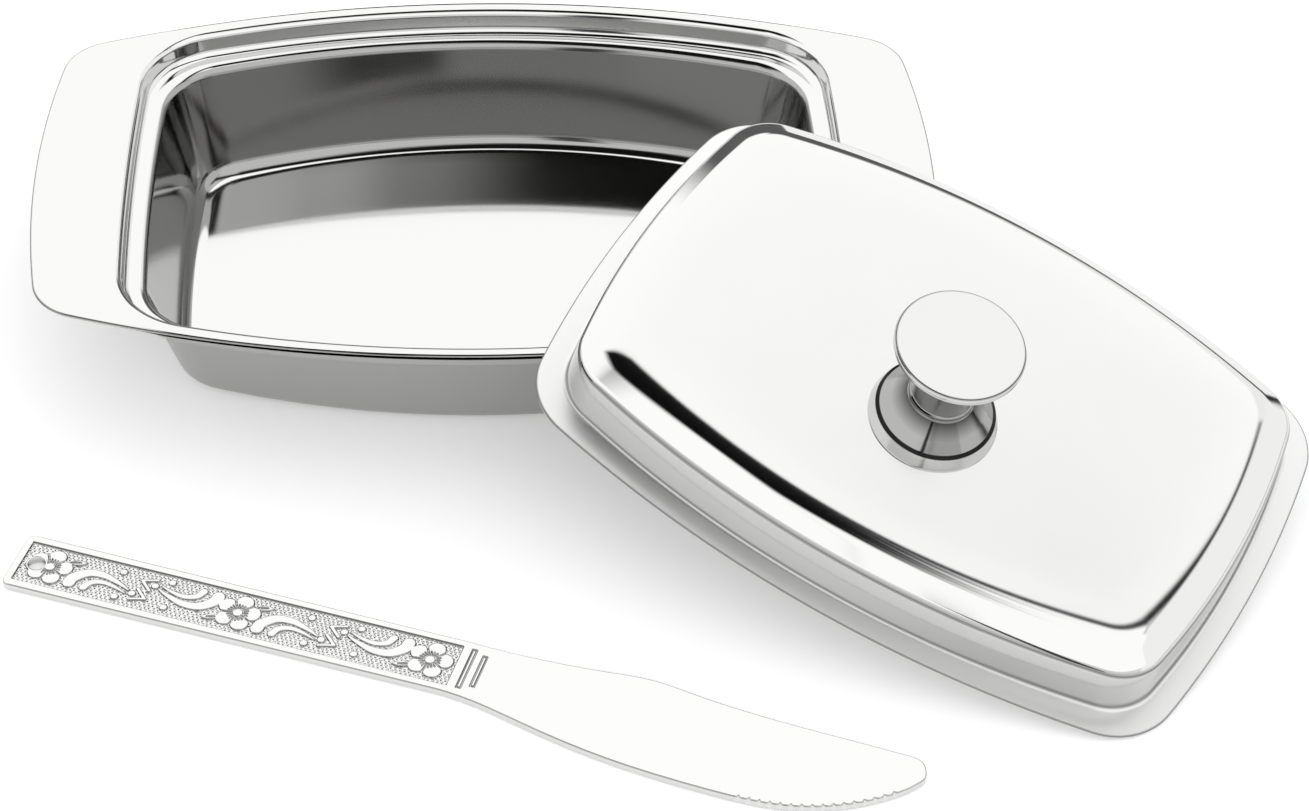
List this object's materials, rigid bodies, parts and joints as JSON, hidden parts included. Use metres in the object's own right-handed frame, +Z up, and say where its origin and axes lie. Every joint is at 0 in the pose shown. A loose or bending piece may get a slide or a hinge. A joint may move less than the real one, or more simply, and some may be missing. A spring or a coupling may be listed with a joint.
{
  "type": "butter dish with lid and knife",
  "caption": "Polished stainless-steel butter dish with a stepped well and end handles, a knobbed lid that leans on it, and a butter knife with a pressed floral handle.",
  "frame": {"origin": "middle of the dish's flat underside, at table height", "axes": "+X along the dish towards one handle, -Y towards the person using it, +Z up"},
  "size_m": [0.2761, 0.2207, 0.0629],
  "materials": {
    "dish": "mirror-polished stainless steel",
    "lid": "mirror-polished stainless steel",
    "knob": "mirror-polished stainless steel",
    "fastener": "plain turned steel",
    "knife": "polished stainless steel with a pressed floral panel"
  },
  "bodies": {
    "dish": {"dish": "dish"},
    "lid": {"lid": "lid", "knob_cap": "knob", "knob_stem": "knob", "knob_insert": "fastener", "knob_screw": "fastener", "spring_washer": "fastener", "flat_washer": "fastener"},
    "butter_knife": {"butter_knife": "knife"}
  },
  "joints": [
    {"name": "lid_lift", "type": "slide", "parent": "dish", "child": "lid", "axis": [0, 0, 1], "range_m": [0, 0.12]},
    {"name": "knife_lift", "type": "slide", "parent": "dish", "child": "butter_knife", "axis": [0, 0, 1], "range_m": [0, 0.12]}
  ]
}
